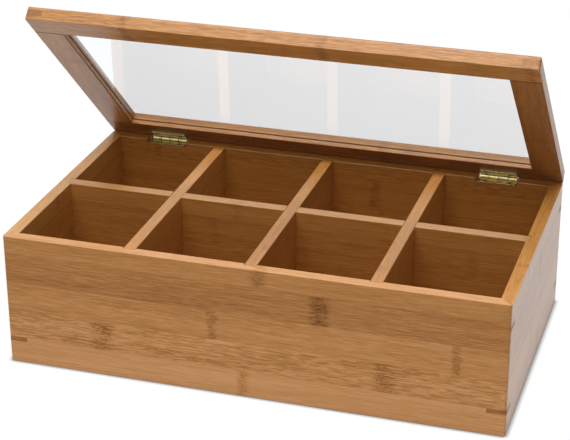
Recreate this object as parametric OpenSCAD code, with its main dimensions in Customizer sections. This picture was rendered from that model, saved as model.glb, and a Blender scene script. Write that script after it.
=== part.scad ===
// Tea bag organizer box: a bamboo box of eight compartments with a
// glazed lid on two brass butt hinges. Millimetres, +Z up. The origin is
// the middle of the underside, the front faces -Y, and the lid swings
// about an axis along X at the top of the back board.

/* [Box] */
// Width of the box, left to right
box_w = 318; // [240:1:400]
// Depth of the box, front to back
box_d = 181.4; // [140:0.2:240]
// Height of the box without its lid
box_h = 87; // [60:1:130]
// Thickness of the four boards
board_t = 8; // [6:0.5:12]
// Rounding of the upright corners and of the lid's upper edges
edge_r = 1.8; // [0.6:0.2:2.6]
// Rounding of the outside edges at the rim, at the foot and under the lid
rim_r = 0.2; // [0.1:0.1:1.2]
// Easing of the inside edges and of the dividers' tops
ease_r = 0.6; // [0.2:0.1:1]
// Thickness of the bottom panel
base_t = 4; // [3:0.5:6]
// How far the bottom panel reaches under each board
base_lap = 4; // [2:0.5:5]

/* [Dividers] */
// Thickness of the dividers
divider_t = 7.7; // [5:0.1:10]
// Depth of the housings that hold the dividers' ends
housing_depth = 2.4; // [1:0.2:4]
// Clearance on each side of a housed or halved joint
joint_gap = 0.1; // [0.05:0.05:0.3]

/* [Corner keys] */
// Thickness of a key
key_t = 3; // [2:0.2:5]
// Length of a key along each outside face
key_leg = 12; // [8:0.5:15]
// Height of a key's middle from the nearer edge of the board
key_inset = 16; // [8:1:25]

/* [Lid] */
// Thickness of the lid's frame
lid_t = 8.8; // [8:0.2:12]
// Gap between the closed lid and the rim
lid_gap = 0.1; // [0.05:0.05:0.3]
// Width of the front rail
front_rail_w = 19.1; // [16:0.1:30]
// Width of the rear rail
rear_rail_w = 19.1; // [17:0.1:30]
// Width of the side stiles
stile_w = 19.4; // [18:0.1:30]
// Width of the tenons on the stiles
tenon_w = 10.5; // [6:0.5:11]
// Thickness of the tenons
tenon_t = 3.8; // [2:0.1:4.2]
// Thickness of the clear pane
pane_t = 1; // [0.8:0.1:2]
// Height of the pane's lower face above the lid's underside
pane_set = 2.8; // [2:0.1:3.6]
// Depth of the groove that holds the pane's edges
pane_lap = 6; // [3:0.5:6.5]
// Clearance over the pane and at its edges
pane_gap = 0.6; // [0.2:0.1:0.8]
// Angle of the lid above its closed place
lid_open = 43.6; // [0:0.2:150]

/* [Hinges] */
// Length of a hinge
hinge_len = 25.4; // [20:0.2:36]
// Distance from the end of the box to the middle of a hinge
hinge_inset = 42.6; // [30:0.2:60]
// Width of a leaf, from the pin's axis to its edge
leaf_w = 7.7; // [7.4:0.1:9]
// Thickness of a leaf
leaf_t = 0.9; // [0.6:0.1:1.1]
// Rounding of a leaf's outer corners
leaf_corner_r = 1; // [0.4:0.1:2]
// Diameter of the barrel
barrel_d = 3.4; // [3.2:0.1:4]
// How far a leaf's outer face lies inside the barrel's
leaf_set = 0.1; // [0.05:0.05:0.2]
// How far the pin's axis lies inside the back of the box
pin_in = 0.4; // [0:0.1:0.5]
// Clearance between the barrel and the groove it lies in
barrel_gap = 0.15; // [0.1:0.05:0.3]
// Diameter of the hinge pin
pin_d = 1.6; // [1.2:0.1:2]
// Running clearance round the pin in the lid's knuckles
pin_gap = 0.05; // [0.02:0.01:0.1]
// Gap between neighbouring knuckles
knuckle_gap = 0.25; // [0.1:0.05:0.5]
// Width of the seam where a rolled knuckle closes on its leaf
roll_gap = 0.12; // [0.05:0.01:0.3]
// Room at each end of a hinge in its recess
recess_gap = 1.8; // [0.5:0.1:3]
// Board left standing behind that room
recess_wall = 3; // [2:0.5:5]
// Clearance at each end of the barrel
barrel_end_gap = 0.3; // [0.2:0.1:0.5]

/* [Hinge screws] */
// Distance from the pin's axis to the row of screws
screw_row = 5.2; // [4.8:0.1:5.4]
// Distance between the screws of a leaf
screw_pitch = 16.4; // [10:0.2:18]
// Diameter of a screw's head
screw_head_d = 3.2; // [2.6:0.1:3.6]
// Height of the domed head above the leaf
screw_rise = 0.3; // [0.1:0.05:0.4]
// Diameter of a screw's shank
screw_d = 1.8; // [1.4:0.1:2]
// Length of a screw below the face of the leaf
screw_len = 7; // [4:0.5:7.5]
// Width of the cross slots in a screw's head
drive_w = 0.45; // [0.3:0.05:0.6]
// Length of the cross slots
drive_len = 1.9; // [1.2:0.1:2.2]
// Depth of the cross slots from the top of the head
drive_depth = 0.5; // [0.3:0.05:0.7]

/* [Hidden] */

arc_steps = 6;
round_steps = 48;
past = 1;
knuckles = 4;
left = -1;
right = 1;
front = -1;
back = 1;

bamboo = [0.80, 0.58, 0.38];
inner_bamboo = [0.70, 0.48, 0.30];
dark_bamboo = [0.50, 0.31, 0.17];
brass = [0.78, 0.66, 0.36];
clear = [0.82, 0.88, 0.92, 0.35];

half_w = box_w / 2;
half_d = box_d / 2;
divider_h = box_h - base_t;
divider_pitch = (box_w - 2 * board_t + divider_t) / 4;
slot_w = divider_t + 2 * joint_gap;
halving_z = base_t + divider_h / 2;
lid_z = box_h + lid_gap;
barrel_r = barrel_d / 2;
leaf_face = barrel_r - leaf_set;
pivot_y = half_d - pin_in;
pivot_z = lid_z - leaf_face;
recess_z = pivot_z - leaf_face;
knuckle_len = hinge_len / knuckles;
sink_h = (screw_head_d - screw_d) / 2;

// Points of an arc about (cx, cy), with both its ends
function arc(cx, cy, r, from, to) = [
    for (i = [0 : arc_steps])
        let (a = from + (to - from) * i / arc_steps)
        [cx + r * cos(a), cy + r * sin(a)]
];

// Outline of a rectangle with rounded corners
function rounded_rect(x0, y0, x1, y1, r) = concat(
    arc(x1 - r, y1 - r, r, 0, 90),
    arc(x0 + r, y1 - r, r, 90, 180),
    arc(x0 + r, y0 + r, r, 180, 270),
    arc(x1 - r, y0 + r, r, 270, 360)
);

// Section of a board: its outside face at 0, the rabbet for the bottom
// panel at the foot of its inside face
board_section = concat(
    arc(rim_r, rim_r, rim_r, 180, 270),
    [[board_t - base_lap, 0], [board_t - base_lap, base_t], [board_t, base_t]],
    arc(board_t - ease_r, box_h - ease_r, ease_r, 0, 90),
    arc(rim_r, box_h - rim_r, rim_r, 90, 180)
);

// Plan of a board of a given length: mitred at both ends, with its share
// of each rounded corner
function mitred_plan(len) = concat(
    arc(edge_r - len / 2, edge_r, edge_r, 225, 270),
    arc(len / 2 - edge_r, edge_r, edge_r, 270, 315),
    [[len / 2 - board_t, board_t], [board_t - len / 2, board_t]]
);

// Section of a divider, centred, standing on the bottom panel
divider_section = concat(
    arc(divider_t / 2 - ease_r, box_h - ease_r, ease_r, 0, 90),
    arc(ease_r - divider_t / 2, box_h - ease_r, ease_r, 90, 180),
    [[-divider_t / 2, base_t], [divider_t / 2, base_t]]
);

// Plan of a corner key: the corner's rounding and a straight back edge
key_plan = concat(
    [[0, key_leg]],
    arc(edge_r, edge_r, edge_r, 180, 270),
    [[key_leg, 0]]
);

// Outline of the closed lid seen from an end or from the front, half as
// wide as given: rounded on top, its lower edges as crisp as the rim's
function lid_outline(half) = concat(
    arc(half - edge_r, lid_t - edge_r, edge_r, 0, 90),
    arc(edge_r - half, lid_t - edge_r, edge_r, 90, 180),
    arc(rim_r - half, rim_r, rim_r, 180, 270),
    arc(half - rim_r, rim_r, rim_r, 270, 360)
);

// Section of a lid member of a given width, eased on its inside edges
// and left oversize on the outside, where the slab trims it
function member_section(w) = concat(
    [[-past, -past], [w - ease_r, -past]],
    arc(w - ease_r, ease_r, ease_r, 270, 360),
    arc(w - ease_r, lid_t - ease_r, ease_r, 0, 90),
    [[w - ease_r, lid_t + past], [-past, lid_t + past]]
);

// Outline of half a screw: tip, shank, countersunk cone and a top that
// is flat or domed by the given rise
function screw_outline(rise) = concat(
    [[0, -screw_len], [screw_d / 2, screw_d - screw_len], [screw_d / 2, -sink_h], [screw_head_d / 2, 0]],
    rise > 0
        ? [for (i = [1 : arc_steps]) let (a = 90 * i / arc_steps) [screw_head_d / 2 * cos(a), rise * sin(a)]]
        : [[0, 0]]
);

// Plan of a leaf without its knuckles, from the pin's axis to its edge
leaf_plan = concat(
    [[hinge_len / 2, 0], [-hinge_len / 2, 0]],
    arc(leaf_corner_r - hinge_len / 2, leaf_corner_r - leaf_w, leaf_corner_r, 180, 270),
    arc(hinge_len / 2 - leaf_corner_r, leaf_corner_r - leaf_w, leaf_corner_r, 270, 360)
);

// Distance of a hinge's middle from the middle of the box
function hinge_x(side) = side * (half_w - hinge_inset);

// A section drawn in Y and Z, drawn out along X and centred
module along_x(len) {
    rotate([90, 0, 90])
        linear_extrude(len, center = true)
            children();
}

// A mitred board along X with its outside face at Y = 0
module board(len) {
    intersection() {
        along_x(len)
            polygon(board_section);
        linear_extrude(box_h)
            polygon(mitred_plan(len));
    }
}

// A board drawn along X, moved to one of the four sides of the box
module on_front() {
    translate([0, -half_d, 0])
        children();
}

module on_back() {
    rotate([0, 0, 180])
        on_front()
            children();
}

module on_side(side) {
    translate([side * half_w, 0, 0])
        rotate([0, 0, side * 90])
            children();
}

// Children repeated at the three cross dividers
module at_cross_dividers() {
    for (i = [-1 : 1])
        translate([i * divider_pitch, 0, 0])
            children();
}

// Housing for a divider's end in the inside face of a board along X
module housing() {
    translate([-slot_w / 2, board_t - housing_depth, base_t])
        cube([slot_w, housing_depth + past, box_h]);
}

// Children copied into one corner of the box, at both key heights
module in_corner(x_side, y_side) {
    turn = x_side == left ? (y_side == front ? 0 : 270) : (y_side == front ? 90 : 180);
    translate([x_side * half_w, y_side * half_d, 0])
        rotate([0, 0, turn])
            for (z = [key_inset, box_h - key_inset])
                translate([0, 0, z - key_t / 2])
                    children();
}

module key_slots(x_side, y_side) {
    in_corner(x_side, y_side)
        linear_extrude(key_t)
            polygon([[-past, key_leg + past], [-past, -past], [key_leg + past, -past]]);
}

module corner_keys(x_side, y_side) {
    color(dark_bamboo)
        in_corner(x_side, y_side)
            linear_extrude(key_t)
                polygon(key_plan);
}

module front_board() {
    color(bamboo)
        difference() {
            on_front()
                difference() {
                    board(box_w);
                    at_cross_dividers()
                        housing();
                }
            for (x_side = [left, right])
                key_slots(x_side, front);
        }
}

module back_board() {
    color(bamboo)
        difference() {
            on_back()
                difference() {
                    board(box_w);
                    at_cross_dividers()
                        housing();
                }
            for (side = [left, right]) {
                key_slots(side, back);
                hinge_recess(side);
                at_hinge(side)
                    barrel_groove();
                box_screw_places(side)
                    screw_hole();
            }
        }
}

module side_board(side) {
    color(bamboo)
        difference() {
            on_side(side)
                difference() {
                    board(box_d);
                    housing();
                }
            for (y_side = [front, back])
                key_slots(side, y_side);
        }
}

module bottom_panel() {
    panel_w = box_w - 2 * (board_t - base_lap + joint_gap);
    panel_d = box_d - 2 * (board_t - base_lap + joint_gap);
    color(inner_bamboo)
        translate([-panel_w / 2, -panel_d / 2, 0])
            cube([panel_w, panel_d, base_t]);
}

// A divider along X between two boards that stand a given distance apart
module divider(between) {
    along_x(between + 2 * (housing_depth - joint_gap))
        polygon(divider_section);
}

module long_divider() {
    color(inner_bamboo)
        difference() {
            divider(box_w - 2 * board_t);
            at_cross_dividers()
                translate([-slot_w / 2, -divider_t, halving_z])
                    cube([slot_w, 2 * divider_t, box_h]);
        }
}

// Cross divider number -1, 0 or 1, dropped over the long divider
module cross_divider(i) {
    color(inner_bamboo)
        translate([i * divider_pitch, 0, 0])
            rotate([0, 0, 90])
                difference() {
                    divider(box_d - 2 * board_t);
                    translate([-slot_w / 2, -divider_t, 0])
                        cube([slot_w, 2 * divider_t, halving_z]);
                }
}

// Children of the closed lid, swung open about the hinge pins
module swung() {
    translate([0, pivot_y, pivot_z])
        rotate([-lid_open, 0, 0])
            translate([0, -pivot_y, -pivot_z])
                children();
}

// The whole lid as one slab with rounded edges and corners
module lid_slab() {
    intersection() {
        linear_extrude(lid_t)
            polygon(rounded_rect(-half_w, -half_d, half_w, half_d, edge_r));
        rotate([90, 0, 0])
            linear_extrude(box_d, center = true)
                polygon(lid_outline(half_w));
        along_x(box_w)
            polygon(lid_outline(half_d));
    }
}

// The groove round the frame and the window inside it, as one slot that
// the pane fills but for its clearance
module pane_slot() {
    translate([-half_w + stile_w - pane_lap, -half_d + front_rail_w - pane_lap, pane_set])
        cube([
            box_w - 2 * (stile_w - pane_lap),
            box_d - front_rail_w - rear_rail_w + 2 * pane_lap,
            pane_t + pane_gap
        ]);
}

// Tenons on both stiles, as long as the lid, or their slots
module tenons(extra) {
    for (side = [left, right])
        translate([side * (half_w - tenon_w / 2 + extra / 2), 0, lid_t / 2])
            cube([tenon_w + extra, box_d + 2 * extra, tenon_t], center = true);
}

// A rail of the lid along X with its outside face at Y = 0
module rail(w) {
    along_x(box_w)
        polygon(member_section(w));
}

module lid_front_rail() {
    color(bamboo)
        swung()
            translate([0, 0, lid_z])
                difference() {
                    intersection() {
                        lid_slab();
                        translate([0, -half_d, 0])
                            rail(front_rail_w);
                    }
                    pane_slot();
                    tenons(past);
                }
}

module lid_rear_rail() {
    color(bamboo)
        difference() {
            swung()
                translate([0, 0, lid_z])
                    difference() {
                        intersection() {
                            lid_slab();
                            translate([0, half_d, 0])
                                rotate([0, 0, 180])
                                    rail(rear_rail_w);
                        }
                        pane_slot();
                        tenons(past);
                    }
            for (side = [left, right]) {
                at_hinge(side)
                    barrel_groove();
                lid_screw_places(side)
                    screw_hole();
            }
        }
}

module lid_stile(side) {
    len = box_d - front_rail_w - rear_rail_w;
    color(bamboo)
        swung()
            translate([0, 0, lid_z])
                difference() {
                    intersection() {
                        lid_slab();
                        union() {
                            translate([side * half_w, (front_rail_w - rear_rail_w) / 2, 0])
                                rotate([0, 0, side * 90])
                                    along_x(len)
                                        polygon(member_section(stile_w));
                            intersection() {
                                tenons(0);
                                translate([side > 0 ? 0 : -box_w, -box_d, 0])
                                    cube([box_w, 2 * box_d, lid_t]);
                            }
                        }
                    }
                    pane_slot();
                }
}

module lid_pane() {
    pane_w = 2 * (half_w - stile_w + pane_lap - pane_gap);
    pane_y = front_rail_w - pane_lap - half_d + pane_gap;
    pane_d = box_d - front_rail_w - rear_rail_w + 2 * (pane_lap - pane_gap);
    color(clear)
        swung()
            translate([-pane_w / 2, pane_y, lid_z + pane_set])
                cube([pane_w, pane_d, pane_t]);
}

// Children drawn about the pin's axis, moved to a hinge
module at_hinge(side) {
    translate([hinge_x(side), pivot_y, pivot_z])
        children();
}

// The recess in the back board's rim that takes the closed hinge
module hinge_recess(side) {
    room = hinge_len + 2 * recess_gap;
    translate([hinge_x(side) - room / 2, half_d - board_t - past, recess_z])
        cube([room, board_t + past - recess_wall, box_h]);
    len = hinge_len + 2 * barrel_end_gap;
    translate([hinge_x(side) - len / 2, half_d - board_t - past, recess_z])
        cube([len, board_t + 2 * past, box_h]);
}

// The groove round the barrel, in the foot of the recess and in the lid
module barrel_groove() {
    bar(hinge_len + 2 * barrel_end_gap, barrel_d + 2 * barrel_gap);
}

// Children placed at every second knuckle, from a given number on
module at_knuckles(first) {
    for (i = [first : 2 : knuckles - 1])
        translate([(i + 1 / 2) * knuckle_len - hinge_len / 2, 0, 0])
            children();
}

// A round bar along X, centred
module bar(len, d) {
    rotate([0, 90, 0])
        cylinder(h = len, d = d, center = true, $fn = round_steps);
}

// A leaf below the pin's axis that has the knuckles from a given number
// on, notched for those of the other leaf, bored for the pin and drilled
// for its screws. The seam where each knuckle's roll ends runs along the
// leaf's face into the bore.
module leaf(first, bore_gap) {
    notch_w = knuckle_len + knuckle_gap;
    difference() {
        union() {
            difference() {
                translate([0, 0, -leaf_face])
                    linear_extrude(leaf_t)
                        polygon(leaf_plan);
                at_knuckles(1 - first)
                    translate([-notch_w / 2, -barrel_r - knuckle_gap, -barrel_d])
                        cube([notch_w, barrel_d, 2 * barrel_d]);
            }
            at_knuckles(first)
                bar(knuckle_len - knuckle_gap, barrel_d);
        }
        bar(hinge_len + 2 * past, pin_d + 2 * bore_gap);
        translate([-hinge_len / 2 - past, -barrel_d, leaf_t - leaf_face])
            cube([hinge_len + 2 * past, barrel_d, roll_gap]);
        at_screws()
            screw_hole();
    }
}

// Children placed at the two screws of a leaf below the pin's axis
module at_screws() {
    for (side = [left, right])
        translate([side * screw_pitch / 2, -screw_row, leaf_t - leaf_face])
            children();
}

// Children drawn for a leaf below the pin's axis, moved to the leaf that
// the lid carries
module as_lid_leaf(side) {
    swung()
        at_hinge(side)
            mirror([0, 0, 1])
                children();
}

module box_screw_places(side) {
    at_hinge(side)
        at_screws()
            children();
}

module lid_screw_places(side) {
    as_lid_leaf(side)
        at_screws()
            children();
}

module box_leaf(side) {
    color(brass)
        at_hinge(side)
            leaf(1, 0);
}

module lid_leaf(side) {
    color(brass)
        as_lid_leaf(side)
            leaf(0, pin_gap);
}

module hinge_pin(side) {
    color(brass)
        at_hinge(side)
            bar(hinge_len, pin_d);
}

// A countersunk screw with its leaf's face at Z = 0, and its hole
module screw_hole() {
    rotate_extrude($fn = round_steps)
        polygon(screw_outline(0));
}

module screw() {
    difference() {
        rotate_extrude($fn = round_steps)
            polygon(screw_outline(screw_rise));
        for (turn = [0, 90])
            rotate([0, 0, turn])
                translate([-drive_len / 2, -drive_w / 2, screw_rise - drive_depth])
                    cube([drive_len, drive_w, drive_depth + past]);
    }
}

module box_screws(side) {
    color(brass)
        box_screw_places(side)
            screw();
}

module lid_screws(side) {
    color(brass)
        lid_screw_places(side)
            screw();
}

front_board();
back_board();
side_board(left);  // left_board
side_board(right);  // right_board
bottom_panel();
corner_keys(left, front);  // front_left_keys
corner_keys(right, front);  // front_right_keys
corner_keys(left, back);  // back_left_keys
corner_keys(right, back);  // back_right_keys
long_divider();
cross_divider(-1);  // cross_divider_left
cross_divider(0);  // cross_divider_middle
cross_divider(1);  // cross_divider_right
lid_front_rail();
lid_rear_rail();
lid_stile(left);  // lid_left_stile
lid_stile(right);  // lid_right_stile
lid_pane();
box_leaf(left);  // left_hinge_box_leaf
lid_leaf(left);  // left_hinge_lid_leaf
hinge_pin(left);  // left_hinge_pin
box_screws(left);  // left_hinge_box_screws
lid_screws(left);  // left_hinge_lid_screws
box_leaf(right);  // right_hinge_box_leaf
lid_leaf(right);  // right_hinge_lid_leaf
hinge_pin(right);  // right_hinge_pin
box_screws(right);  // right_hinge_box_screws
lid_screws(right);  // right_hinge_lid_screws
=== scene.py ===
"""A bamboo tea bag organizer box: eight compartments under a clear-windowed lid on two brass butt hinges."""

import logging
import math
import random
from dataclasses import dataclass
from enum import Enum
from functools import partial, reduce

import bmesh
import bpy
import numpy as np
from mathutils import Matrix, Vector


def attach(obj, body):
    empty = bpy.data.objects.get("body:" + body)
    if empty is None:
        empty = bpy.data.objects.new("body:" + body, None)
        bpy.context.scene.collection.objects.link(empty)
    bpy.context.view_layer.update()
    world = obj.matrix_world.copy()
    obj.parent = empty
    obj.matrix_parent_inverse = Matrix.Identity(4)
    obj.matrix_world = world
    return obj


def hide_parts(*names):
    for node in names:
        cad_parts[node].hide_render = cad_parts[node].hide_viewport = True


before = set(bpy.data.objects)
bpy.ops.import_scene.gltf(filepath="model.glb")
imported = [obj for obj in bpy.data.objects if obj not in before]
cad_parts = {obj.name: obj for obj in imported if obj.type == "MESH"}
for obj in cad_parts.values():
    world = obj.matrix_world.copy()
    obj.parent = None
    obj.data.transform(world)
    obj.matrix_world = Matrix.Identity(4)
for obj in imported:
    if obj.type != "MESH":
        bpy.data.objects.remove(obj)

log = logging.getLogger("tea_box")

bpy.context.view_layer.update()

MM = 0.001
WELD = 0.0000008  # points closer than this, in metres, are joined
HINGE_LINE = (90.3, 85.5)  # the hinge line's depth and height, in mm
OPEN_ANGLE = 43.6  # how far the lid stands open at rest, in degrees
BOARD_FOOT = -1.8  # where a board's lowest strip would start, in mm
STRIP_WIDTH = 19.3  # how wide the boards' strips are, in mm
SPAN, KNOT_SPAN = 500.0, 50.0  # the lengths in mm that count as 1 in a colour that holds a strip's values

Colour = tuple[float, float, float]
Material, Node, Socket = bpy.types.Material, bpy.types.Node, bpy.types.NodeSocket
Value = float | Socket


# ---- node graphs ----


class Graph:
    """Adds and joins the nodes of one material, world or geometry tree."""

    def __init__(self, tree: bpy.types.NodeTree) -> None:
        """Starts on an empty tree."""
        self.tree = tree
        tree.nodes.clear()

    def node(self, kind: str, feeds: dict[str | int, object] | None = None, **settings: object) -> Node:
        """Adds a node, sets its options and feeds its inputs.

        Args:
            kind: the node's type name, where a shader node's goes without its prefix.
            feeds: an output or a plain value for each input, by the input's name or number.
            settings: the options to set on it, by name.

        Returns:
            The new node.
        """
        made = self.tree.nodes.new(kind if "Node" in kind else "ShaderNode" + kind)
        for name, value in settings.items():
            setattr(made, name, value)
        for name, value in (feeds or {}).items():
            if isinstance(value, Socket):
                self.tree.links.new(value, made.inputs[name])
            else:
                made.inputs[name].default_value = value
        return made

    def math(self, operation: str, *values: Value) -> Socket:
        """One Math node over one to three values."""
        return self.node("Math", dict(enumerate(values)), operation=operation).outputs[0]

    def size(self, value: Value) -> Socket:
        """A value without its sign."""
        return self.math("ABSOLUTE", value)

    def times(self, value: Value, factor: Value) -> Socket:
        """One value times another."""
        return self.math("MULTIPLY", value, factor)

    def scaled(self, value: Value, factor: Value, shift: Value) -> Socket:
        """A value times a factor, plus a shift."""
        return self.math("MULTIPLY_ADD", value, factor, shift)

    def centred(self, value: Value, spread: float) -> Socket:
        """A value of 0 to 1 laid evenly about 0, as wide as the spread."""
        return self.scaled(value, spread, -spread / 2)

    def total(self, *values: Value) -> Socket:
        """The sum of several values."""
        return reduce(partial(self.math, "ADD"), values)

    def weighted(self, values: dict[str, Socket], weights: dict[str, float]) -> Socket:
        """The sum of the values that have a weight, each times its weight."""
        return self.total(*(self.times(values[name], weight) for name, weight in weights.items()))

    def step(self, value: Value, low: float, high: float, start: float = 0.0, end: float = 1.0) -> Socket:
        """A smooth step.

        Args:
            value: what is compared.
            low, high: where the step begins and ends.
            start, end: the results before and after it.

        Returns:
            The result, with a smooth curve from start to end.
        """
        feeds = {"Value": value, "From Min": low, "From Max": high, "To Min": start, "To Max": end}
        return self.node("MapRange", feeds, interpolation_type="SMOOTHSTEP").outputs["Result"]

    def vector(self, x: Value, y: Value, z: Value) -> Socket:
        """Three values as one vector."""
        return self.node("CombineXYZ", {0: x, 1: y, 2: z}).outputs[0]

    def parts(self, vector: Socket) -> tuple[Socket, ...]:
        """The three values of a vector."""
        return tuple(self.node("SeparateXYZ", {0: vector}).outputs)

    def noise(self, vector: Socket, scale: float = 1.0, detail: float = 2.0, roughness: float = 0.5) -> Socket:
        """Cloudy noise from 0 to 1 over a vector."""
        feeds = {"Vector": vector, "Scale": scale, "Detail": detail, "Roughness": roughness}
        return self.node("TexNoise", feeds).outputs["Fac"]

    def cells(self, vector: Socket) -> Socket:
        """The distance to the nearest of a scatter of points, about one to each unit of the vector."""
        return self.node("TexVoronoi", {"Vector": vector, "Scale": 1.0}, feature="F1").outputs["Distance"]

    def openness(self, reach: float) -> Socket:
        """How open a place is to what lies within a reach in metres, from 0 in a crevice to 1."""
        return self.node("AmbientOcclusion", {"Distance": reach}, samples=8).outputs["AO"]

    def rays(self, *kinds: str) -> Socket:
        """1 for a ray of one of these kinds, and 0 for any other."""
        path = self.node("LightPath").outputs
        return reduce(partial(self.math, "MAXIMUM"), [path[f"Is {kind} Ray"] for kind in kinds])

    def ramp(self, factor: Value, stops: tuple[tuple[float, Colour], ...], steps: bool = False) -> Socket:
        """Looks a value up along a row of colours.

        Args:
            factor: the place on the row, from 0 to 1.
            stops: each colour with its place.
            steps: True for flat steps, False for a smooth run.

        Returns:
            The colour there.
        """
        made = self.node("ValToRGB", {"Fac": factor})
        row = made.color_ramp
        row.interpolation = "CONSTANT" if steps else "LINEAR"
        while len(row.elements) < len(stops):
            row.elements.new(1.0)
        for element, (place, colour) in zip(row.elements, stops):
            element.position = place
            element.color = (*colour, 1.0)
        return made.outputs["Color"]

    def blend(self, factor: Value, first: Colour, second: Colour) -> Socket:
        """A colour between two, from the first at 0 to the second at 1."""
        feeds = {0: factor, 6: (*first, 1.0), 7: (*second, 1.0)}
        return self.node("Mix", feeds, data_type="RGBA").outputs[2]

    def relief(self, height: Socket, depth: float) -> Socket:
        """A surface normal from a height of 0 to 1 over a depth in metres."""
        return self.node("Bump", {"Strength": 1.0, "Distance": depth, "Height": height}).outputs["Normal"]

    def mixed(self, share: Value, first: Node, second: Node) -> Node:
        """Two shaders as one, from the first at 0 to the second at 1."""
        return self.node("MixShader", {0: share, 1: first.outputs[0], 2: second.outputs[0]})

    def close(self, shader: Node, kind: str = "Material") -> None:
        """Sends a shader to the tree's output."""
        self.node("Output" + kind, {"Surface": shader.outputs[0]})


def new_material(name: str) -> tuple[Material, Graph]:
    """An empty material and the graph of its nodes."""
    material = bpy.data.materials.new(name)
    material.use_nodes = True
    return material, Graph(material.node_tree)


# ---- finishes ----


class Grain(Enum):
    """Which of a piece's axes run along the grain, across the strips and through them."""

    WIDE_UPRIGHT = (0, 2, 1)
    DEEP_UPRIGHT = (1, 2, 0)
    WIDE_FLAT = (0, 1, 2)
    DEEP_FLAT = (1, 0, 2)


@dataclass(frozen=True)
class Strip:
    """One glued strip of bamboo.

    Attributes:
        tone: from 0, darkest, to 1, palest.
        knot_at, knot_every: where a culm knot crosses it along the grain, and how far apart its knots are, in mm.
        knot_width, knot_depth: how wide a knot's band is, in mm, and how dark, from 0 to 1.
        coarse: how strongly its fibre dashes show, from 0 to 1.
    """

    tone: float = 0.55
    knot_at: float = 0.0
    knot_every: float = 190.0
    knot_width: float = 9.0
    knot_depth: float = 0.5
    coarse: float = 0.4

    def packed(self) -> tuple[Colour, Colour]:
        """Its values as two colours: lengths along the grain as shares of SPAN, and the knot's width of KNOT_SPAN."""
        place = (self.knot_at + SPAN / 2) / SPAN
        return (self.tone, place, self.knot_every / SPAN), (self.knot_width / KNOT_SPAN, self.knot_depth, self.coarse)


def drawn_strips(count: int, seed: int, tone: float, spread: float = 0.06, knots: float = 0.5) -> tuple[Strip, ...]:
    """Strips with tones and knots drawn from a seeded list of chances.

    Args:
        count, seed: how many strips, and which draw.
        tone, spread: their middle tone, and how far one may stray from it.
        knots: how dark the darkest knot may be.

    Returns:
        The strips, in order across the grain.
    """
    chance = random.Random(seed)
    return tuple(
        Strip(
            tone=tone + chance.uniform(-spread, spread),
            knot_at=chance.uniform(-90.0, 90.0),
            knot_every=chance.uniform(165.0, 230.0),
            knot_width=chance.uniform(6.0, 11.0),
            knot_depth=chance.uniform(0.4, 1.0) * knots,
            coarse=chance.uniform(0.05, 0.45),
        )
        for _ in range(count)
    )


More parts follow.
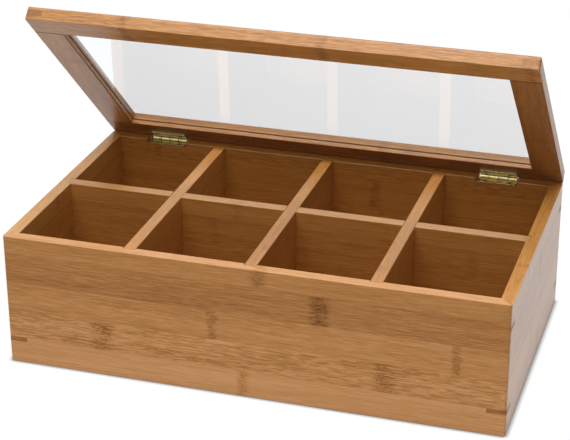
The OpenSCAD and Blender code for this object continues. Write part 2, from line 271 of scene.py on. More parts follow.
@dataclass(frozen=True)
class Bamboo:
    """Satin-lacquered laminated bamboo.

    The pattern is one solid in millimetres, so that fibres seen as lines on a face are dots on the end grain.

    Attributes:
        name: the material's name.
        grain: how the piece lies.
        strips: its strips in order across the grain.
        first_edge, strip_width: where the first strip starts across the grain, and how wide a strip is, in mm.
        swing: degrees that the piece stands turned about the hinge line at rest.
        seed: shifts the fibres, so that no two pieces match.
        edge_tone_and_highlight, end_tone: added to the tone where a face cuts the strips' edges, and on end grain.
        figure: how strongly its streaks and fibres show on the strips' faces.
        joint_shade_at: how far from the middle, along the grain, a dark line of painted shade shows in a butt joint's
            gap, in mm, or 0 for none.
        roughness, gloss: the lacquer's, where a gloss of 0.5 is plain lacquer.
        coat: how much of a second, glossier layer of lacquer lies over it.
        relief: how deep the fibres show, in metres.
        edge_tone_and_highlight, end_tone: added to the tone where a face cuts the strips' edges, partly their own
            lighter tone and partly a painted highlight, and on end grain.
        cast: multiplies its colours, for pieces cut from warmer or greyer culms.
        bare_past: the places across the grain and through it, in mm, past and below which the lacquer has worn off.
    """

    name: str
    grain: Grain
    strips: tuple[Strip, ...]
    first_edge: float = BOARD_FOOT
    strip_width: float = STRIP_WIDTH
    swing: float = 0.0
    seed: int = 1
    edge_tone_and_highlight: float = 0.0
    end_tone: float = -0.1
    joint_shade_at: float = 0.0
    figure: float = 1.0
    roughness: float = 0.42
    gloss: float = 0.5
    coat: float = 0.35
    relief: float = 0.00005
    rim_matte: float = 0.0
    cast: Colour = (1.0, 1.0, 1.0)
    bare_past: tuple[float, float] | None = None

    TONES = (
        (0.0, (0.085, 0.022, 0.003)),
        (0.25, (0.262, 0.092, 0.013)),
        (0.5, (0.510, 0.218, 0.047)),
        (0.75, (0.700, 0.350, 0.118)),
        (1.0, (0.820, 0.480, 0.225)),
    )
    # what each part of the figure adds to the tone, and to the height of the relief
    TONE_WEIGHTS = {"bundle": -0.035, "dash": -0.12, "knot": -0.28, "glue": -0.035}
    HEIGHT_WEIGHTS = {"streak": 0.6, "fine": 0.4, "bundle": -0.25, "dash": -0.35, "knot": -0.5, "glue": -0.4}
    # how far apart, in mm, neighbouring strips and pieces lie in the endless pattern that they are cut from
    STRIP_SHIFT, PIECE_SHIFT = 37.3, 11.7

    def place(self, graph: Graph) -> tuple[Socket, ...]:
        """Where a point lies in the piece and which way its face looks, with a swung piece laid flat again.

        Args:
            graph: the material's nodes.

        Returns:
            Its places along the grain, across it and through it in mm, and how squarely its face cuts the grain and the
            strips' edges, from 0 to 1.
        """
        turn = Matrix.Rotation(math.radians(self.swing), 3, "X")
        hub = Vector((0.0, *HINGE_LINE))
        source = graph.node("TexCoord").outputs
        back = {"Rotation": turn.to_euler()}
        there = {"Vector": source["Object"], "Scale": (1 / MM,) * 3, "Location": hub - turn @ hub} | back
        axes = graph.parts(graph.node("Mapping", there).outputs[0])
        facing = {"Vector": source["Normal"]} | back
        ways = graph.parts(graph.node("Mapping", facing, vector_type="VECTOR").outputs[0])
        cuts = (graph.step(graph.size(ways[i]), 0.6, 0.85) for i in self.grain.value[:2])
        return *(axes[i] for i in self.grain.value), *cuts

    def strip_values(self, graph: Graph, number: Socket) -> list[tuple[Socket, ...]]:
        """Looks up what a strip is like.

        Args:
            graph: the material's nodes.
            number: the strip's number.

        Returns:
            Its tone, knots' place and spacing, then its knots' width, depth and its coarseness, with lengths in mm.
        """
        count = len(self.strips)
        pick = graph.math("DIVIDE", graph.math("ADD", number, 0.5), float(count))
        rows = zip(*(strip.packed() for strip in self.strips))
        stops = [tuple((i / count, colour) for i, colour in enumerate(row)) for row in rows]
        (tone, at, every), (width, depth, coarse) = (graph.parts(graph.ramp(pick, each, steps=True)) for each in stops)
        at, every, width = graph.scaled(at, SPAN, -SPAN / 2), graph.times(every, SPAN), graph.times(width, KNOT_SPAN)
        return [(tone, at, every), (width, depth, coarse)]

    def material(self) -> Material:
        """Builds the finish.

        Returns:
            A material whose colour, roughness and normal come from the strips, their knots and their fibres.
        """
        material, graph = new_material(self.name)
        times, scaled, centred, total = graph.times, graph.scaled, graph.centred, graph.total
        size, step, noise = graph.size, graph.step, graph.noise
        along, across, through, end, rim = self.place(graph)

        # the strip's number and values, and the nearness of a glue line
        raw = graph.math("DIVIDE", graph.math("SUBTRACT", across, self.first_edge), self.strip_width)
        number = graph.math("MINIMUM", graph.math("MAXIMUM", graph.math("FLOOR", raw), 0.0), len(self.strips) - 1.0)
        (tone, knot_at, knot_every), (knot_width, knot_depth, coarse) = self.strip_values(graph, number)
        inside = graph.math("SUBTRACT", raw, number)
        to_glue = times(graph.math("MINIMUM", inside, graph.math("SUBTRACT", 1.0, inside)), self.strip_width)
        glue = step(size(to_glue), 0.05, 0.4, 1.0, 0.0)

        # the distance along the grain to the nearest knot
        half_way = times(knot_every, 0.5)
        away = graph.math("WRAP", graph.math("SUBTRACT", along, knot_at), half_way, times(half_way, -1.0))

        # each strip is cut from its own culm, so its fibres are shifted; they run in slow waves that grow near a knot
        near = step(size(away), 4.0, 34.0, 1.0, 0.0)
        shifted = graph.math("ADD", across, scaled(number, self.STRIP_SHIFT, self.seed * self.PIECE_SHIFT))
        slow = graph.vector(times(along, 0.05), times(shifted, 0.09), times(through, 0.09))
        sway = times(centred(noise(slow, detail=1.0), 1.0), scaled(near, 2.4, 0.9))
        waved = graph.math("ADD", shifted, sway)

        def stretched(lengthwise: float, crosswise: float) -> Socket:
            """Coordinates scaled along and across the fibres."""
            return graph.vector(times(along, lengthwise), times(waved, crosswise), times(through, crosswise))

        streak = noise(stretched(0.020, 1.2), detail=4.0, roughness=0.6)
        fine = noise(stretched(0.06, 1.7), detail=3.0, roughness=0.6)
        broad = noise(stretched(0.007, 0.14))
        bundle = step(graph.cells(stretched(0.012, 0.9)), 0.12, 0.42, 1.0, 0.0)
        dash = step(noise(stretched(0.11, 1.45), roughness=0.6), 0.38, 0.62, -1.0, 1.0)
        dash = times(dash, scaled(coarse, 0.9, 0.1))

        # a knot: a soft brown band across the strip, broken into short dark marks
        wander = times(centred(noise(stretched(0.05, 0.4)), 1.0), times(knot_width, 0.8))
        share = graph.math("DIVIDE", size(graph.math("ADD", away, wander)), knot_width)
        band = step(share, 0.12, 0.62, 1.0, 0.0)
        marks = step(noise(stretched(0.40, 0.95), roughness=0.6), 0.46, 0.62)
        knot = times(times(band, scaled(marks, 0.62, 0.38)), knot_depth)

        # the tone, and with it the colour
        fibres = total(centred(streak, 0.27), centred(fine, 0.30))
        figure = {"streak": streak, "fine": fine, "bundle": bundle, "dash": dash, "knot": knot, "glue": glue}
        shifts = [
            times(fibres, scaled(rim, 0.6, self.figure)),
            centred(broad, 0.20),
            graph.weighted(figure, self.TONE_WEIGHTS),
            times(end, self.end_tone),
            # the strips' edges: their own lighter tone, plus a painted highlight where those faces catch the light
            times(rim, self.edge_tone_and_highlight),
        ]
        # painted shade: a dark line where the butt joint's gap would hold shade
        if self.joint_shade_at:
            to_joint = size(graph.math("SUBTRACT", size(along), self.joint_shade_at))
            shifts.append(step(to_joint, 0.12, 0.45, -0.40, 0.0))
        colours = tuple((stop, tuple(np.multiply(colour, self.cast))) for stop, colour in self.TONES)

        surface = {
            "Base Color": graph.ramp(total(tone, *shifts), colours),
            "Roughness": total(self.roughness, centred(streak, 0.16), times(knot, 0.1), times(end, 0.12)),
            "Normal": graph.relief(graph.weighted(figure, self.HEIGHT_WEIGHTS), self.relief),
            "IOR": 1.5,
            "Specular IOR Level": self.gloss,
            "Coat Weight": self.coat,
            "Coat Roughness": 0.22,
        }
        kept = None
        if self.bare_past:
            back, foot = self.bare_past
            inner, upper = step(across, back - 0.8, back, 1.0, 0.0), step(through, foot, foot + 0.6)
            kept = graph.math("MAXIMUM", inner, upper)
        elif self.rim_matte:
            kept = scaled(rim, -self.rim_matte, 1.0)
        if kept:
            surface["Specular IOR Level"] = times(kept, self.gloss)
            surface["Coat Weight"] = times(kept, self.coat)
        graph.close(graph.node("BsdfPrincipled", surface))
        return material


@dataclass(frozen=True)
class Brass:
    """Rolled or turned brass, lightly brushed and a little tarnished.

    Attributes:
        name: the material's name.
        bright, dull: its colours where it is clean and where it has tarnished.
        roughness: of the clean metal.
        brush: how fine the brush marks are across, per mm.
    """

    name: str
    bright: Colour = (0.60, 0.49, 0.24)
    dull: Colour = (0.11, 0.08, 0.03)
    roughness: float = 0.28
    brush: float = 6.0

    # how far each kind of place is stained, and how much it adds to the roughness
    STAIN_WEIGHTS = {"patch": 0.45, "crevice": 0.75, "sawn": 0.9}
    ROUGHNESS_WEIGHTS = {"patch": 0.16, "sawn": 0.3}

    def material(self) -> Material:
        """Builds the finish.

        Returns:
            A material with brush marks along the hinge line, and tarnish in soft patches, in crevices and on sawn ends.
        """
        material, graph = new_material(self.name)
        source = graph.node("TexCoord").outputs
        places = graph.node("Mapping", {"Vector": source["Object"], "Scale": (1 / MM,) * 3}).outputs[0]
        x, y, z = graph.parts(places)
        brushed = graph.vector(graph.times(x, 0.35), graph.times(y, self.brush), graph.times(z, self.brush))
        lines = graph.noise(brushed, detail=3.0, roughness=0.6)
        wear = {
            "patch": graph.step(graph.noise(places, 0.45, 3.0, 0.6), 0.42, 0.72),
            "crevice": graph.step(graph.openness(0.7 * MM), 0.4, 0.95, 1.0, 0.0),
            "sawn": graph.step(graph.size(graph.parts(source["Normal"])[0]), 0.55, 0.85),
        }
        stain = graph.total(graph.weighted(wear, self.STAIN_WEIGHTS), graph.scaled(lines, 0.3, -0.1))
        stain = graph.math("MINIMUM", graph.math("MAXIMUM", stain, 0.0), 1.0)
        rough = graph.total(self.roughness, graph.centred(lines, 0.16), graph.weighted(wear, self.ROUGHNESS_WEIGHTS))
        surface = {
            "Base Color": graph.blend(stain, self.bright, self.dull),
            "Metallic": 1.0,
            "Roughness": rough,
            "Normal": graph.relief(lines, 0.000004),
        }
        graph.close(graph.node("BsdfPrincipled", surface))
        return material


@dataclass(frozen=True)
class Acrylic:
    """Polished clear acrylic sheet.

    Attributes:
        name: the material's name.
        tint, lamp_tint: how much passes through it of what is seen, and of the lamplight.
        bend: its refractive index.
    """

    name: str
    tint: Colour = (0.952, 0.98, 1.0)
    lamp_tint: Colour = (0.92, 0.93, 0.94)
    bend: float = 1.42

    def material(self) -> Material:
        """Builds the finish.

        Returns:
            A material that is clear and glossy with a trace of handling haze, and open to lamplight.
        """
        material, graph = new_material(self.name)
        haze = graph.noise(graph.node("TexCoord").outputs["Object"], 38.0, 4.0, 0.6)
        surface = {
            "Base Color": (*self.tint, 1.0),
            "IOR": self.bend,
            "Transmission Weight": 1.0,
            "Roughness": graph.step(haze, 0.5, 0.8, 0.0, 0.02),
        }
        clear = graph.node("BsdfPrincipled", surface)
        open_to_light = graph.node("BsdfTransparent", {"Color": (*self.lamp_tint, 1.0)})
        graph.close(graph.mixed(graph.rays("Shadow", "Diffuse"), clear, open_to_light))
        return material


# ---- carried nodes ----


def soft_shading(angle: float) -> bpy.types.NodeTree:
    """A modifier tree that joins a node's loose triangles and shades its rounded edges smoothly.

    Args:
        angle: the edge angle in degrees past which an edge stays sharp.

    Returns:
        The tree, for use by any number of modifiers.
    """
    tree = bpy.data.node_groups.new("soft_shading", "GeometryNodeTree")
    for way in ("INPUT", "OUTPUT"):
        tree.interface.new_socket("Geometry", in_out=way, socket_type="NodeSocketGeometry")
    graph = Graph(tree)
    shape = graph.node("NodeGroupInput").outputs[0]
    shape = graph.node("GeometryNodeMergeByDistance", {"Geometry": shape, "Distance": 0.002 * MM}).outputs[0]
    angles = graph.node("GeometryNodeInputMeshEdgeAngle").outputs[0]
    limit = {0: angles, 1: math.radians(angle)}
    steep = graph.node("FunctionNodeCompare", data_type="FLOAT", operation="GREATER_THAN", feeds=limit).outputs[0]
    for domain, where in (("FACE", {"Shade Smooth": True}), ("EDGE", {"Shade Smooth": False, "Selection": steep})):
        shape = graph.node("GeometryNodeSetShadeSmooth", domain=domain, feeds={"Geometry": shape} | where).outputs[0]
    graph.node("NodeGroupOutput", {0: shape})
    return tree


@dataclass
class SubAssembly:
    """A group of pieces that are shaded alike.

    Attributes:
        shading: the tree from soft_shading.
    """

    shading: bpy.types.NodeTree

    def shade(self, piece: bpy.types.Object) -> None:
        """Smooths a piece's rounded edges and keeps its flat faces flat.

        Args:
            piece: the piece.
        """
        piece.modifiers.new("soft_shading", "NODES").node_group = self.shading
        flat = piece.modifiers.new("flat_faces", "WEIGHTED_NORMAL")
        flat.mode = "FACE_AREA"
        flat.weight = 100
        flat.keep_sharp = True

    def dress(self, node: str, material: Material) -> None:
        """Gives a carried CAD node its finish and smooth edges, and reports it.

        Args:
            node: the CAD node's name.
            material: its finish.
        """
        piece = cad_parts[node]
        for place in piece.material_slots:
            place.material = material
        self.shade(piece)
        log.info("dressed %s in %s", node, material.name)


# ---- sub-assemblies ----


@dataclass
class BoxBody(SubAssembly):
    """The four mitred boards, their corner keys, the bottom panel and the dividers.

    Attributes:
        front_strips: the front board's strips from the bottom up, placed as the photograph shows them.
        lower_key, upper_key: what each corner's two keys are cut from.
        key_split: the height between them, in mm.
        panel_edge: where the bottom panel's first strip starts, in mm.
    """

    front_strips: tuple[Strip, ...] = (
        Strip(tone=0.64, knot_at=-4.0, knot_every=260.0, knot_width=8.0, knot_depth=0.85, coarse=0.12),
        Strip(tone=0.55, knot_at=-95.0, knot_every=180.0, knot_width=15.0, knot_depth=0.85, coarse=0.95),
        Strip(tone=0.52, knot_at=-23.0, knot_every=151.0, knot_width=7.0, knot_depth=0.8, coarse=0.35),
        Strip(tone=0.41, knot_at=44.5, knot_every=270.0, knot_width=13.0, knot_depth=0.95, coarse=0.35),
        Strip(tone=0.48, knot_at=7.0, knot_every=260.0, knot_width=10.0, knot_depth=0.7, coarse=0.2),
    )
    lower_key: Strip = Strip(tone=0.35, knot_depth=0.0, coarse=0.3)
    upper_key: Strip = Strip(tone=0.43, knot_depth=0.0, coarse=0.3)
    key_split: float = 43.5
    panel_edge: float = -96.5

    def build(self) -> None:
        """Dresses every board, key, panel and divider."""
        for bamboo in self.boards():
            self.dress(bamboo.name.replace("bamboo", "board"), bamboo.material())
        for bamboo in self.keys():
            self.dress(bamboo.name.replace("key_bamboo", "keys"), bamboo.material())
        strips = drawn_strips(10, 51, 0.46, knots=0.25)
        panel = Bamboo("bottom_bamboo", Grain.WIDE_FLAT, strips, self.panel_edge, seed=51)
        self.dress("bottom_panel", panel.material())
        for bamboo in self.dividers():
            self.dress(bamboo.name.removesuffix("_bamboo"), bamboo.material())

    def boards(self) -> tuple[Bamboo, ...]:
        """The outer boards' finishes: only the front one's strips and knots are given one by one."""
        wide, deep, grey = Grain.WIDE_UPRIGHT, Grain.DEEP_UPRIGHT, (1.0, 0.98, 0.9)
        lacquer = {"gloss": 0.2, "coat": 0.12, "cast": (1.055, 1.11, 1.42)}
        shine = {"gloss": 0.7, "coat": 0.5, "rim_matte": 0.65, "cast": (1.03, 0.96, 0.75)}
        return (
            Bamboo("front_bamboo", wide, self.front_strips, seed=3, edge_tone_and_highlight=0.245, **lacquer),
            Bamboo("back_bamboo", wide, drawn_strips(5, 12, 0.42), seed=12, edge_tone_and_highlight=0.08, figure=0.7, cast=grey),
            Bamboo("left_bamboo", deep, drawn_strips(5, 23, 0.46), seed=23, edge_tone_and_highlight=0.24, figure=0.8, cast=grey),
            Bamboo("right_bamboo", deep, drawn_strips(5, 34, 0.43), seed=34, edge_tone_and_highlight=0.22, figure=0.8, **shine),
        )

    def keys(self) -> tuple[Bamboo, ...]:
        """The corner keys' finishes: the lower one of each pair is cut from darker bamboo."""
        pair = (self.lower_key, self.upper_key)
        style = {"first_edge": 0.0, "strip_width": self.key_split, "gloss": 0.2, "coat": 0.1}
        corners = enumerate(("front_left", "front_right", "back_left", "back_right"), 40)
        return tuple(
            Bamboo(f"{corner}_key_bamboo", Grain.WIDE_UPRIGHT, pair, seed=seed, **style) for seed, corner in corners
        )

    def dividers(self) -> tuple[Bamboo, ...]:
        """The dividers' finishes."""
        long = {"strips": drawn_strips(5, 62, 0.45, 0.05, 0.3), "seed": 62, "edge_tone_and_highlight": 0.15, "figure": 0.7}
        cross = partial(Bamboo, grain=Grain.DEEP_UPRIGHT, edge_tone_and_highlight=0.12, figure=0.7, cast=(1.01, 0.96, 0.88))
        sides = {n: drawn_strips(5, n, 0.455, 0.05, 0.3) for n in (73, 74, 75)}
        names = [f"cross_divider_{side}_bamboo" for side in ("left", "middle", "right")]
        crosses = [cross(name, strips=strips, seed=n) for name, (n, strips) in zip(names, sides.items())]
        return Bamboo("long_divider_bamboo", Grain.WIDE_UPRIGHT, **long), *crosses


@dataclass
class Lid(SubAssembly):
    """The framed lid with its clear pane, standing open at rest.

    Attributes:
        shoulder: how far from the middle the stiles meet the rails, in mm.
        worn_past: the depth past which and the height below which the rear rail's lacquer has worn off, in mm.
        front_strip, rear_strip_painted_shade: what the rails are cut from; the rear one's tone is set darker as painted
            shade, for the shade it lies in by the hinge.
        left_strip, right_strip: the stiles' strips; the right one is set darker than the left.
    """

    shoulder: float = 71.6
    worn_past: tuple[float, float] = (88.0, 87.6)
    front_strip: Strip = Strip(tone=0.425, knot_at=-95.0, knot_every=124.0, knot_width=8.0, knot_depth=0.7, coarse=0.6)
    # painted shade: the rear rail's tone is set low for the shade it lies in by the hinge
    rear_strip_painted_shade: Strip = Strip(tone=0.28, knot_at=40.0, knot_depth=0.4, coarse=0.3)
    left_strip: Strip = Strip(tone=0.385, knot_at=-30.0, knot_depth=0.3, coarse=0.3)
    right_strip: Strip = Strip(tone=0.265, knot_at=20.0, knot_depth=0.3, coarse=0.3)

    def build(self) -> None:
        """Dresses the four frame members and the pane; lacquer has worn off where the rear rail turns by the back."""
        turned = {"first_edge": -SPAN / 2, "strip_width": SPAN, "swing": OPEN_ANGLE}
        rail, worn = {"grain": Grain.WIDE_FLAT} | turned, {"bare_past": self.worn_past}
        stile = {"grain": Grain.DEEP_FLAT, "edge_tone_and_highlight": 0.06, "joint_shade_at": self.shoulder} | turned
        members = (
            Bamboo("lid_front_rail_bamboo", strips=(self.front_strip,), seed=81, edge_tone_and_highlight=0.06, **rail),
            Bamboo("lid_rear_rail_bamboo", strips=(self.rear_strip_painted_shade,), seed=92, edge_tone_and_highlight=0.12, **rail, **worn),
            Bamboo("lid_left_stile_bamboo", strips=(self.left_strip,), seed=103, **stile),
            Bamboo("lid_right_stile_bamboo", strips=(self.right_strip,), seed=114, end_tone=0.1, **stile),
        )
        for bamboo in members:
            self.dress(bamboo.name.removesuffix("_bamboo"), bamboo.material())
        self.dress("lid_pane", Acrylic("pane_acrylic").material())


# ---- worked-out surfaces ----


def joined(*values: np.ndarray | float) -> np.ndarray:
    """Arrays and numbers side by side, along the last axis of one array."""
    return np.stack(np.broadcast_arrays(*values), axis=-1)


def cell_corners(index: np.ndarray) -> np.ndarray:
    """The four point numbers of each cell in a grid of point numbers, in order round the cell."""
    return np.stack((index[:-1, :-1], index[:-1, 1:], index[1:, 1:], index[1:, :-1]), axis=-1).reshape(-1, 4)


def linked(name: str, data: bpy.types.ID) -> bpy.types.Object:
    """A new object in the scene that holds a mesh, a lamp or a camera."""
    bpy.context.scene.collection.objects.link(made := bpy.data.objects.new(name, data))
    return made


@dataclass(frozen=True)
class Surface:
    """A grid of points with a face in each of its cells.

    Attributes:
        points: rows by columns by 3, in mm.
        ring: True where the last row joins the first; the columns always do.
        open_side: a value of x whose faces are left out, because two surfaces meet there.
    """

    points: np.ndarray
    ring: bool = False
    open_side: float | None = None

    def faces(self) -> np.ndarray:
        """The four corner numbers of each face."""
        rows, columns = self.points.shape[:2]
        index = np.arange(rows * columns).reshape(rows, columns)
        faces = cell_corners(np.pad(index, ((0, int(self.ring)), (0, 1)), mode="wrap"))
        if self.open_side is not None:
            on_side = np.isclose(self.points.reshape(-1, 3)[:, 0], self.open_side, rtol=0.0, atol=1e-6)
            faces = faces[~on_side[faces].all(axis=1)]
        return faces


def welded_mesh(name: str, surfaces: list[Surface], place: np.ndarray) -> bpy.types.Mesh:
    """A mesh of several surfaces, with their seams and poles closed and their faces outwards.

    Args:
        name: the mesh's name.
        surfaces: the surfaces, in mm about the piece's own middle.
        place: a 4 by 4 matrix that carries them to their place in mm.

    Returns:
        The mesh, in metres.
    """
    points = np.concatenate([each.points.reshape(-1, 3) for each in surfaces])
    starts = np.cumsum([0] + [each.points.shape[0] * each.points.shape[1] for each in surfaces[:-1]])
    faces = np.concatenate([each.faces() + start for each, start in zip(surfaces, starts)])
    points = (points @ place[:3, :3].T + place[:3, 3]) * MM
    mesh = bpy.data.meshes.new(name)
    mesh.from_pydata(points.tolist(), [], faces.tolist())
    shell = bmesh.new()
    shell.from_mesh(mesh)
    bmesh.ops.remove_doubles(shell, verts=shell.verts, dist=WELD)
    bmesh.ops.recalc_face_normals(shell, faces=shell.faces)
    shell.to_mesh(mesh)
    shell.free()
    return mesh


@dataclass
class Hinge(SubAssembly):
    """One brass butt hinge: two leaves with rolled knuckles, a pin and four screws.

    Every size is in mm. A leaf's own frame has the pin along x, the leaf's edge towards -y and the leaf below the pin.

    Attributes:
        side: which side of the box it is on, "left" or "right".
        middle: the middle of the right hinge's pin.
        length, leaf_width: of a leaf, its width from the pin's middle.
        leaf_top, leaf_foot: the heights of its outer and inner faces.
        corner, fillet: the radii of its outer corners and of the sheet's soft edges.
        barrel, bore, loose: the knuckles' outer radius, the pin's tight hole, and how much wider the turning holes are.
        knuckle, knuckle_gap: the knuckles' pitch, and the gap between them and beside the barrel.
        knuckle_lap, lap_share: how far a knuckle's sheet laps under its plate, and its thickness there as a share.
        roll_end: where a knuckle's roll ends, in degrees about the pin.
        screw_row, screw_apart: how far the screws are from the pin's middle and from each other.
        head, head_rise: the radius of a screw's head, and the height of its dome.
        shank, core, ridge: the thread's outer and inner radius, and half its ridge as a share of a turn.
        screw_long, thread_every: a screw's length below the leaf's outer face, and its thread's pitch.
        drive_wide, drive_long, drive_deep, drive_soft: the size of the drive's two bars, and how soft their edge is.
        play, pin_dome: the gap round a screw, and the height of the pin's domed ends.
    """

    side: str
    middle: tuple[float, float, float] = (116.4, *HINGE_LINE)
    length: float = 25.4
    leaf_width: float = 7.7
    leaf_top: float = -0.7
    leaf_foot: float = -1.6
    corner: float = 1.0
    fillet: float = 0.12
    barrel: float = 1.7
    bore: float = 0.8
    loose: float = 0.05
    knuckle: float = 6.35
    knuckle_gap: float = 0.4
    knuckle_lap: float = 0.35
    lap_share: float = 0.86
    roll_end: float = 197.0
    screw_row: float = 5.2
    screw_apart: float = 16.4
    head: float = 1.6
    head_rise: float = 0.3
    shank: float = 0.9
    core: float = 0.66
    ridge: float = 0.3
    screw_long: float = 7.0
    thread_every: float = 0.8
    drive_wide: float = 0.45
    drive_long: float = 1.9
    drive_deep: float = 0.5
    drive_soft: float = 0.07
    play: float = 0.03
    pin_dome: float = 0.25

    def box_place(self) -> np.ndarray:
        """Carries the box's leaf to the box: a shift to this hinge's middle."""
        x, y, z = self.middle
        return np.array(Matrix.Translation((x if self.side == "right" else -x, y, z)))

    def lid_place(self) -> np.ndarray:
        """Carries a leaf to the lid: half a turn about y lays it above the pin, then the lid's swing and the shift."""
        turn = Matrix.Rotation(math.radians(-OPEN_ANGLE), 4, "X") @ Matrix.Rotation(math.pi, 4, "Y")
        return self.box_place() @ np.array(turn)

    def outline(self, inset: float) -> np.ndarray:
        """The right half of a leaf seen from above: straight sides and one rounded outer corner, drawn in by an inset.

        Args:
            inset: how far inside the real outline, in mm; the middle of the leaf stays where it is.

        Returns:
            Points by 2, round the half from its middle; the same number for every inset.
        """
        right, edge, back = self.length / 2 - inset, inset - self.leaf_width, -self.barrel - self.knuckle_gap - inset
        radius = self.corner - inset
        turn = np.linspace(-math.pi / 2, 0.0, 9)
        runs = (
            (np.linspace(0.0, right - radius, 15)[:-1], edge),
            (right - radius + radius * np.cos(turn), edge + radius + radius * np.sin(turn)),
            (right, np.linspace(edge + radius, back, 9)[1:-1]),
            (np.linspace(right, 0.0, 15)[:-1], back),
            (0.0, np.linspace(back, edge, 9)[:-1]),
        )
        return np.concatenate([joined(x, y) for x, y in runs])

    def half_plate(self) -> Surface:
        """Half of a leaf's plate, as a ring of rows round its screw hole.

        Each row is a loop: up the hole's straight foot, out along its cone, out to the outline, over the rounded edge,
        down the side and back under it. A point of the hole lies in the direction of the outline's point it joins.
        """
        rim = self.outline(0.0)
        centre = np.array((self.screw_apart / 2, -self.screw_row))
        way = rim - centre
        way /= np.linalg.norm(way, axis=1)[:, None]
        turn = np.linspace(0.0, math.pi / 2, 5)
        foot, cone = centre + self.shank * way, self.leaf_top - (self.head - self.shank)
        rows = [(foot, self.leaf_foot), (foot, cone), (centre + self.head * way, self.leaf_top)]
        inner, outer = self.fillet * (1 - np.sin(turn)), self.fillet * (1 - np.cos(turn))
        rows += [(self.outline(inset), self.leaf_top - drop) for inset, drop in zip(inner, outer)]
        rows += [(self.outline(inset), self.leaf_foot + rise) for inset, rise in zip(outer, inner)]
        points = np.stack([np.insert(loop, 2, height, axis=1) for loop, height in rows])
        return Surface(points, ring=True, open_side=0.0)

    def mirrored(self, surface: Surface) -> Surface:
        """The same surface on the other side of x = 0."""
        return Surface(surface.points * (-1.0, 1.0, 1.0), surface.ring, surface.open_side)

    def knuckle_roll(self, number: int, bore: float) -> Surface:
        """One knuckle: the leaf's sheet, carried along a path that runs in flat and rolls round the pin.

        The section is a rounded rectangle, as wide as the knuckle. The path runs along the leaf, sinks a little and
        turns about the pin until the sheet's half-round end nearly meets the leaf again, at the seam.

        Args:
            number: the knuckle's place along the pin, from 0 at the left.
            bore: the radius of the hole, in mm.

        Returns:
            The surface.
        """
        thick = self.barrel - bore
        mid = self.barrel - thick / 2
        flat = np.linspace(-self.barrel - self.knuckle_gap - self.knuckle_lap, 0.0, 12)[:-1]
        sink = (flat - flat[0]) / -flat[0]
        level = (self.leaf_top + self.leaf_foot) / 2
        turn = np.radians(np.linspace(-90.0, self.roll_end, 56))
        y = np.concatenate((flat, mid * np.cos(turn)))
        z = np.concatenate((level + (-mid - level) * sink**2 * (3 - 2 * sink), mid * np.sin(turn)))
        tangent = joined(np.gradient(y), np.gradient(z))
        tangent /= np.linalg.norm(tangent, axis=1)[:, None]
        depth = np.full(len(y), thick)
        depth[0] *= self.lap_share

        lip = np.linspace(0.0, math.pi / 2, 5)[1:]
        step = np.concatenate((np.zeros(1 + len(y)), 0.5 * self.fillet * np.sin(lip)))
        swell = np.concatenate(([0.0], depth / thick, np.cos(lip)))
        pick = np.concatenate(([0], np.arange(len(y)), np.full(len(lip), len(y) - 1)))
        path = joined(y, z)[pick] + step[:, None] * tangent[pick]
        inward = joined(-tangent[pick, 1], tangent[pick, 0])

        half, edge = (self.knuckle - self.knuckle_gap) / 2, self.fillet
        corner = np.linspace(0.0, math.pi / 2, 5)
        wide, high = half - edge + edge * np.cos(corner), thick / 2 - edge + edge * np.sin(corner)
        width = np.concatenate((wide, -wide[::-1], -wide, wide[::-1]))
        height = np.concatenate((high, high[::-1], -high, -high[::-1]))

        x = (number + 0.5) * self.knuckle - self.length / 2 + width
        lift = swell[:, None] * height
        return Surface(joined(x, path[:, :1] + inward[:, :1] * lift, path[:, 1:] + inward[:, 1:] * lift))

    def lathe(self, reach: np.ndarray, height: np.ndarray, count: int) -> np.ndarray:
        """Points of a turned shape about z: each row is a circle of its own radius and height.

        Args:
            reach: each row's radius, or each point's.
            height: each row's height, or each point's.
            count: how many points go round a circle.

        Returns:
            Rows by columns by 3.
        """
        angle = np.linspace(0.0, 2 * math.pi, count, endpoint=False)
        reach, height = (each.reshape(len(each), -1) for each in (reach, height))
        return joined(reach * np.cos(angle), reach * np.sin(angle), height)

    def screw(self, x: float) -> Surface:
        """One countersunk screw with its head's cone in the leaf's face.

        The rows run from the middle of the domed head outwards, down the cone and down the thread to the point. A cross
        of two soft-edged bars is sunk in the head. Down the shank the radius is a core plus a ridge where the height,
        in turns of the thread, matches the angle.

        Args:
            x: the screw's place along the pin.

        Returns:
            The surface.
        """
        count, rim, shank = 72, self.head - self.play, self.shank - self.play
        angle = np.linspace(0.0, 2 * math.pi, count, endpoint=False)
        out = np.concatenate((np.linspace(0.0, 1.2, 37), np.linspace(1.25, rim, 7)))[:, None]

        def bar(lengthwise: np.ndarray, crosswise: np.ndarray) -> np.ndarray:
            """1 inside a bar and 0 outside it, with a smooth edge."""
            inside = np.minimum(self.drive_long / 2 - np.abs(lengthwise), self.drive_wide / 2 - np.abs(crosswise))
            share = np.clip(inside / self.drive_soft + 0.5, 0.0, 1.0)
            return share**2 * (3 - 2 * share)

        wide, deep = out * np.cos(angle), out * np.sin(angle)
        cross = np.maximum(bar(wide, deep), bar(deep, wide))
        dome = self.head_rise * np.sqrt(np.clip(1 - (out / self.head) ** 2, 0.0, 1.0))
        head = joined(wide, deep, dome * (1 - cross) + (self.head_rise - self.drive_deep) * cross)

        fall = np.linspace(-self.play, self.shank - self.head - self.play, 4)
        cone = self.lathe(np.linspace(rim - self.play, shank, 4), fall, count)
        down = np.linspace(self.leaf_foot - self.leaf_top, -self.screw_long, 86)[:, None]
        turns = (down / self.thread_every + angle / (2 * math.pi)) % 1.0
        taper = np.clip((down + self.screw_long) / (2 * self.shank), 0.0, 1.0) ** 0.7
        ridge = np.clip(1 - np.abs(turns - 0.5) / self.ridge, 0.0, 1.0)
        thread = self.lathe((self.core + (shank - self.core) * ridge) * taper, down, count)

        return Surface(np.concatenate((head, cone, thread)) + (x, -self.screw_row, self.leaf_top))

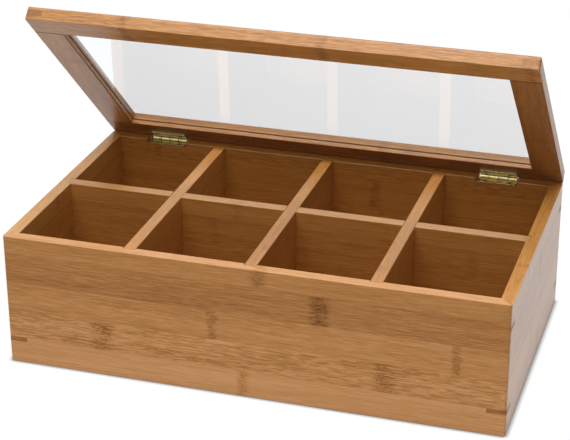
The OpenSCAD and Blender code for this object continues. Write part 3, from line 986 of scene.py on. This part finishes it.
    def pin(self) -> Surface:
        """The pin: a rod along x whose ends are low domes, a half ellipse each."""
        bulge = np.linspace(0.0, math.pi / 2, 8)
        half = self.length / 2
        start = self.pin_dome * (1 - np.cos(bulge)) - half
        place = np.concatenate((start, np.linspace(0.4 - half, half - 0.4, 12), -start[::-1]))
        reach = (self.bore - self.play / 3) * np.concatenate((np.sin(bulge), np.ones(12), np.sin(bulge[::-1])))
        turned = self.lathe(reach, place, 40)
        return Surface(turned[..., (2, 0, 1)])

    def place_piece(self, node: str, surfaces: list[Surface], place: np.ndarray, finish: Material) -> None:
        """Makes one piece, which replaces its CAD node and rides with the same body.

        Args:
            node: what the CAD node is called after the hinge's side: the lid's pieces start with "lid".
            surfaces: its shape.
            place: the matrix that carries it to its place.
            finish: its material.
        """
        body = "lid" if node.startswith("lid") else "box"
        name = f"{self.side}_brass_{node}"
        piece = linked(name, welded_mesh(name, surfaces, place))
        piece.data.materials.append(finish)
        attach(piece, body)
        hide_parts(f"{self.side}_hinge_{node}")
        self.shade(piece)
        log.info("made %s", name)

    def build(self) -> None:
        """Makes and dresses the leaves, the pin and the screws."""
        leaf = Brass(self.side + "_leaf_brass").material()
        pin = Brass(self.side + "_pin_brass", roughness=0.24).material()
        screw = Brass(self.side + "_screw_brass", bright=(0.42, 0.33, 0.15), roughness=0.3).material()
        plate = self.half_plate()
        screws = [self.screw(x) for x in (-self.screw_apart / 2, self.screw_apart / 2)]
        sides = (("box", self.box_place(), self.bore), ("lid", self.lid_place(), self.bore + self.loose))
        for body, place, bore in sides:
            rolls = [self.knuckle_roll(number, bore) for number in (1, 3)]
            self.place_piece(f"{body}_leaf", [plate, self.mirrored(plate), *rolls], place, leaf)
            self.place_piece(f"{body}_screws", screws, place, screw)
        self.place_piece("pin", [self.pin()], self.box_place(), pin)


# ---- studio ----


@dataclass
class Studio:
    """The pale sweep, the lamps, the world and the camera.

    Attributes:
        place: where the camera stands, in metres.
        heading, tilt, roll: its turns about the vertical, from straight down and about its line of sight, in degrees.
        lens, shift: its focal length in mm, and how far the picture is moved, as shares of its width.
        sky: the strength of the sky's light.
        floor_front, floor_back: where the flat floor starts and ends, in metres.
        floor_curve, floor_rise: the radius of the curve behind it, and the height of the backdrop.
        floor_side, floor_drop: how far the sweep goes to either side, and how far it lies under the box.
    """

    place: tuple[float, float, float] = (0.30041, -0.97441, 0.55408)
    heading: float = 16.894
    tilt: float = 65.768
    roll: float = -0.037
    lens: float = 111.158
    shift: tuple[float, float] = (-0.0237, -0.0404)
    sky: float = 0.1
    floor_front: float = -3.0
    floor_back: float = 2.2
    floor_curve: float = 0.9
    floor_rise: float = 2.4
    floor_side: float = 3.2
    floor_drop: float = 0.0002

    def build(self) -> None:
        """Sets up everything that isn't the object."""
        self.sweep()
        self.light()
        self.world()
        self.camera()

    def sweep(self) -> None:
        """The floor and backdrop: a flat run, a quarter circle and an upright run, carried from side to side."""
        bend = np.linspace(0.0, math.pi / 2, 25)
        flat = np.linspace(self.floor_front, self.floor_back, 25)[:-1]
        upright = np.linspace(self.floor_curve, self.floor_rise, 5)[1:]
        back = self.floor_back + self.floor_curve
        depth = np.concatenate((flat, self.floor_back + self.floor_curve * np.sin(bend), np.full(4, back)))
        height = np.concatenate((np.zeros(24), self.floor_curve * (1 - np.cos(bend)), upright)) - self.floor_drop
        across = np.linspace(-self.floor_side, self.floor_side, 9)
        points = joined(across, depth[:, None], height[:, None])
        mesh = bpy.data.meshes.new("studio_sweep")
        index = np.arange(points.size // 3).reshape(points.shape[:2])
        mesh.from_pydata(points.reshape(-1, 3).tolist(), [], cell_corners(index).tolist())
        mesh.shade_smooth()
        mesh.materials.append(self.paper())
        sweep = linked("studio_sweep", mesh)
        log.info("laid the sweep")

    def paper(self) -> Material:
        """The sweep's white paper.

        The camera, clear pieces, lacquer and brass see it as white, with a trace of the object's shadow and a painted
        contact shadow, a thin dark line where it stands. Lamplight meets plain pale paper.

        Returns:
            The material.
        """
        material, graph = new_material("sweep_paper")
        plain = graph.node("BsdfDiffuse", {"Color": (0.8, 0.8, 0.8, 1.0)})
        # painted contact shadow: the glow dims where ambient occlusion finds the box close by
        strength = graph.times(graph.math("POWER", graph.openness(3 * MM), 1.5), 1.045)
        glow_with_painted_shadow = graph.node("Emission", {"Strength": strength})
        seen, mirrored = graph.rays("Camera", "Transmission"), graph.rays("Glossy")
        white = graph.math("MAXIMUM", graph.times(seen, 0.92), graph.times(mirrored, 0.8))
        graph.close(graph.mixed(white, plain, glow_with_painted_shadow))
        return material

    def lamp(self, name: str, place: Vector, aim: Vector, size: tuple[float, float], power: float) -> None:
        """A rectangular soft box.

        Args:
            name: the lamp's name.
            place: its middle, in metres.
            aim: the point that it faces.
            size: its width and height, in metres.
            power: its power in watts.
        """
        data = bpy.data.lights.new(name, "AREA")
        data.shape = "RECTANGLE"
        data.size, data.size_y = size
        data.energy = power
        lamp = linked(name, data)
        lamp.location = place
        lamp.rotation_euler = (aim - place).to_track_quat("-Z", "Y").to_euler()
        log.info("hung %s", name)

    def light(self) -> None:
        """One large soft box overhead and a weaker one above the front, both aimed at the box's middle."""
        middle = Vector((0.0, 0.0, 0.05))
        self.lamp("overhead_box", Vector((0.0, -0.05, 1.9)), middle, (1.5, 1.2), 25.5)
        self.lamp("front_box", Vector((0.0, -1.3, 1.5)), middle, (1.5, 1.0), 14.0)

    def world(self) -> None:
        """A white surround for what is seen and mirrored, and an even grey-white sky for light."""
        world = bpy.data.worlds.new("studio_world")
        bpy.context.scene.world = world
        world.use_nodes = True
        graph = Graph(world.node_tree)
        clean = (1.0, 1.0, 1.0, 1.0)
        sky = graph.node("Background", {"Color": clean, "Strength": self.sky})
        white = graph.node("Background", {"Color": clean, "Strength": 1.0})
        graph.close(graph.mixed(graph.rays("Camera", "Transmission", "Glossy"), sky, white), "World")

    def camera(self) -> None:
        """The photograph's view."""
        data = bpy.data.cameras.new("photo_camera")
        data.lens = self.lens
        data.sensor_width = 36.0
        data.sensor_fit = "HORIZONTAL"
        data.shift_x, data.shift_y = self.shift
        camera = linked("photo_camera", data)
        view = Matrix.Translation(self.place)
        for angle, axis in ((self.heading, "Z"), (self.tilt, "X"), (self.roll, "Z")):
            view = view @ Matrix.Rotation(math.radians(angle), 4, axis)
        camera.matrix_world = view
        bpy.context.scene.camera = camera
        bpy.context.scene.view_settings.view_transform = "Standard"


def main() -> None:
    """Builds and dresses every sub-assembly, then the studio."""
    logging.basicConfig(level=logging.INFO, format="%(name)s: %(message)s")
    shading = soft_shading(38.0)
    BoxBody(shading).build()
    Lid(shading).build()
    for side in ("left", "right"):
        Hinge(shading, side).build()
    Studio().build()


if __name__ == "__main__":
    main()
